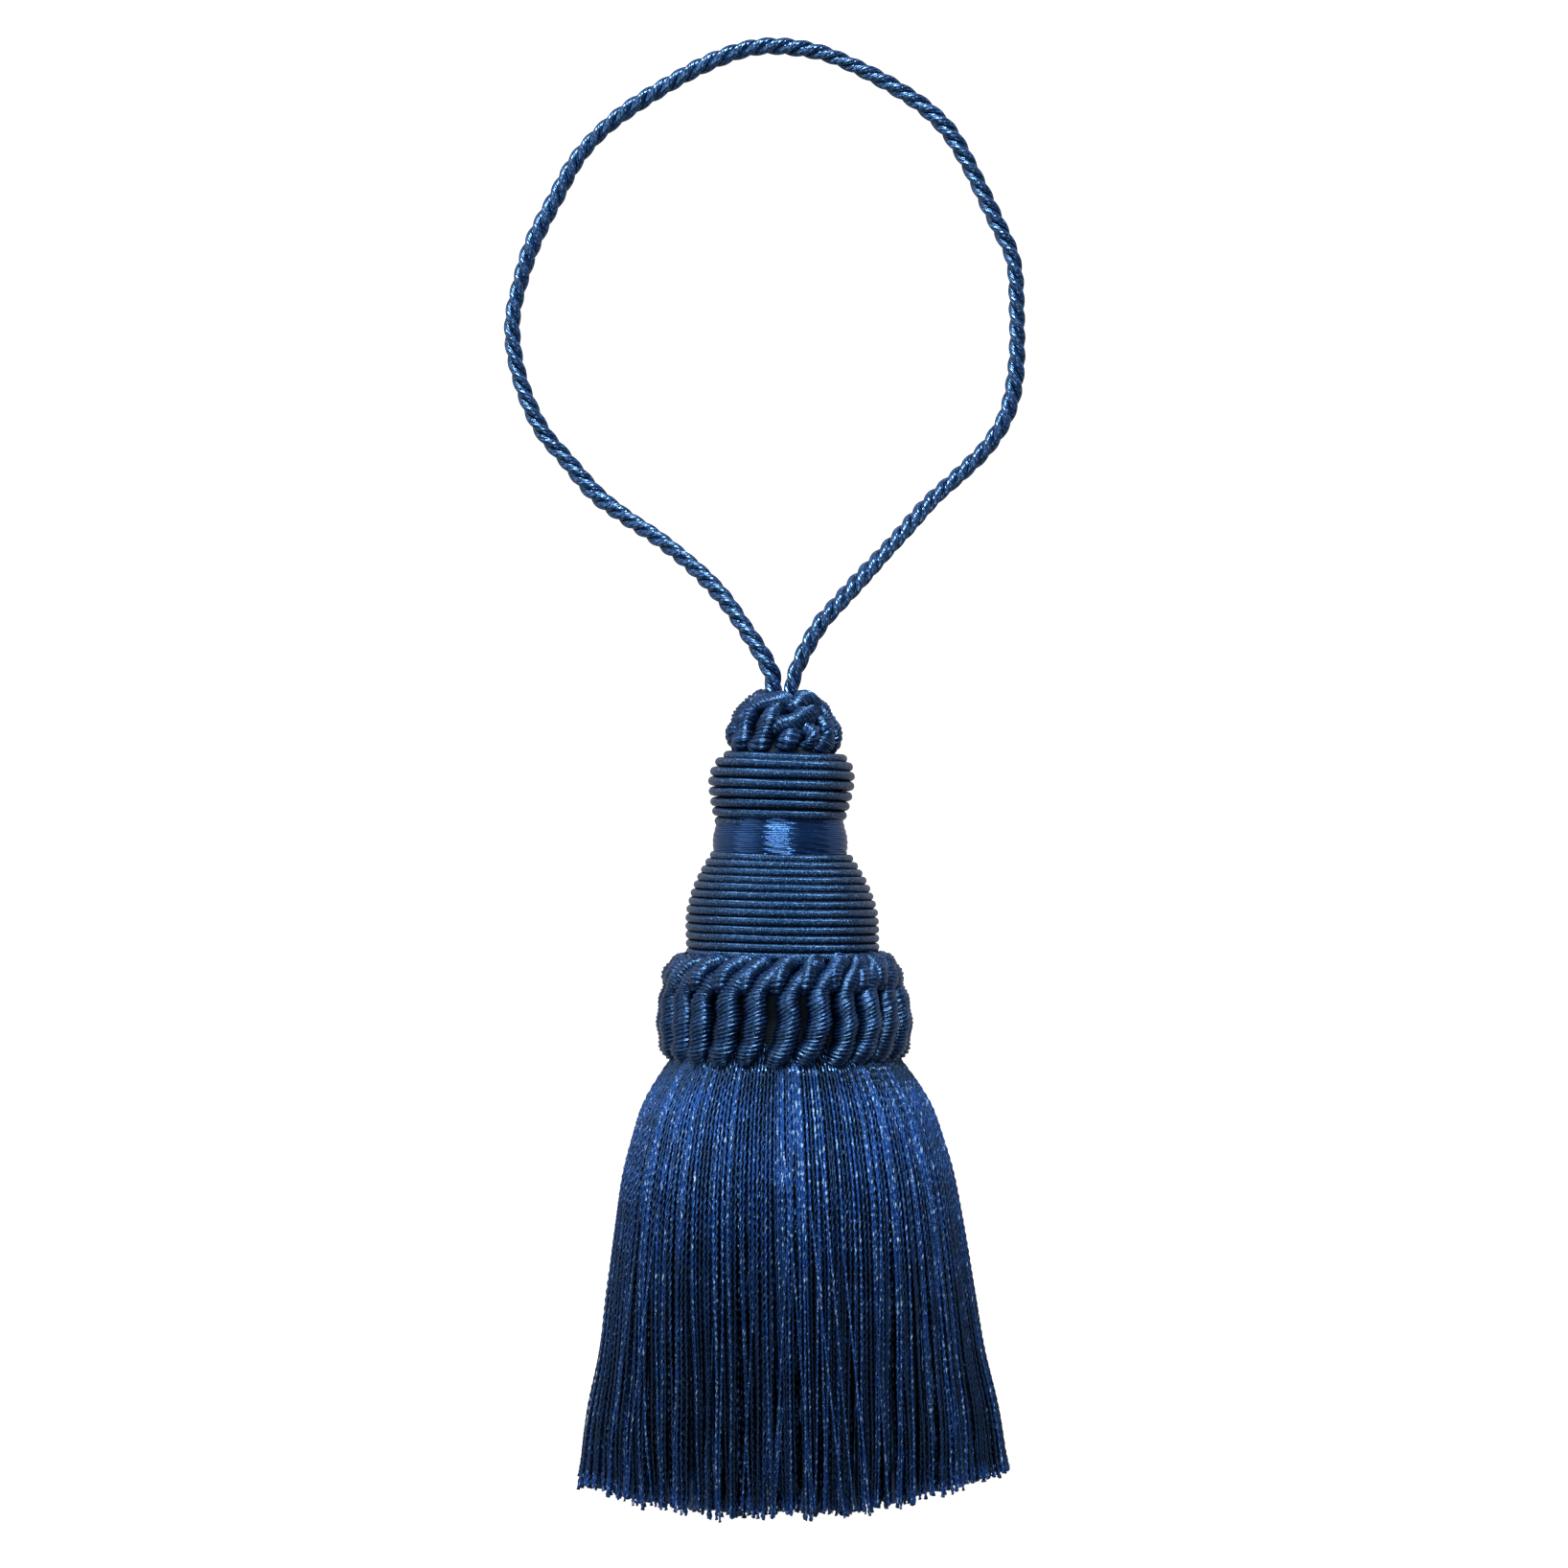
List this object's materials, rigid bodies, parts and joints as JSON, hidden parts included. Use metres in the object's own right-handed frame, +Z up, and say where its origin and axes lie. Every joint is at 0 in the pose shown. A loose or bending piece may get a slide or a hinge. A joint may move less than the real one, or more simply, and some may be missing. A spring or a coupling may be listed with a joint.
{
  "type": "key tassel",
  "caption": "Key tassel lying on its back: a twisted cord loop, a knotted cap, a gimp-bound head, a ruffed collar and a full skirt of yarns, for a drawer knob, key or curtain.",
  "frame": {"origin": "on the floor under the middle of the collar, on the flat that the collar is pressed to", "axes": "+Y along the tassel from its skirt to its loop, +Z up from the surface it lies on, +X to the right as seen from above with the loop away"},
  "size_m": [0.0897, 0.2537, 0.0418],
  "materials": {
    "loop_cord": "silky twisted rayon cord",
    "ruff_cord": "silky thread wound over thick cord",
    "gimp": "fine thread wound over a core, satin",
    "floss": "smooth silk floss with a long sheen",
    "skirt_yarn": "silky two-ply bullion yarn"
  },
  "bodies": {
    "root": {"hanging_loop": "loop_cord", "cap_ruff": "ruff_cord", "upper_binding": "gimp", "waist_floss": "floss", "lower_binding": "gimp", "collar_ruff": "ruff_cord", "skirt": "skirt_yarn"}
  },
  "joints": []
}
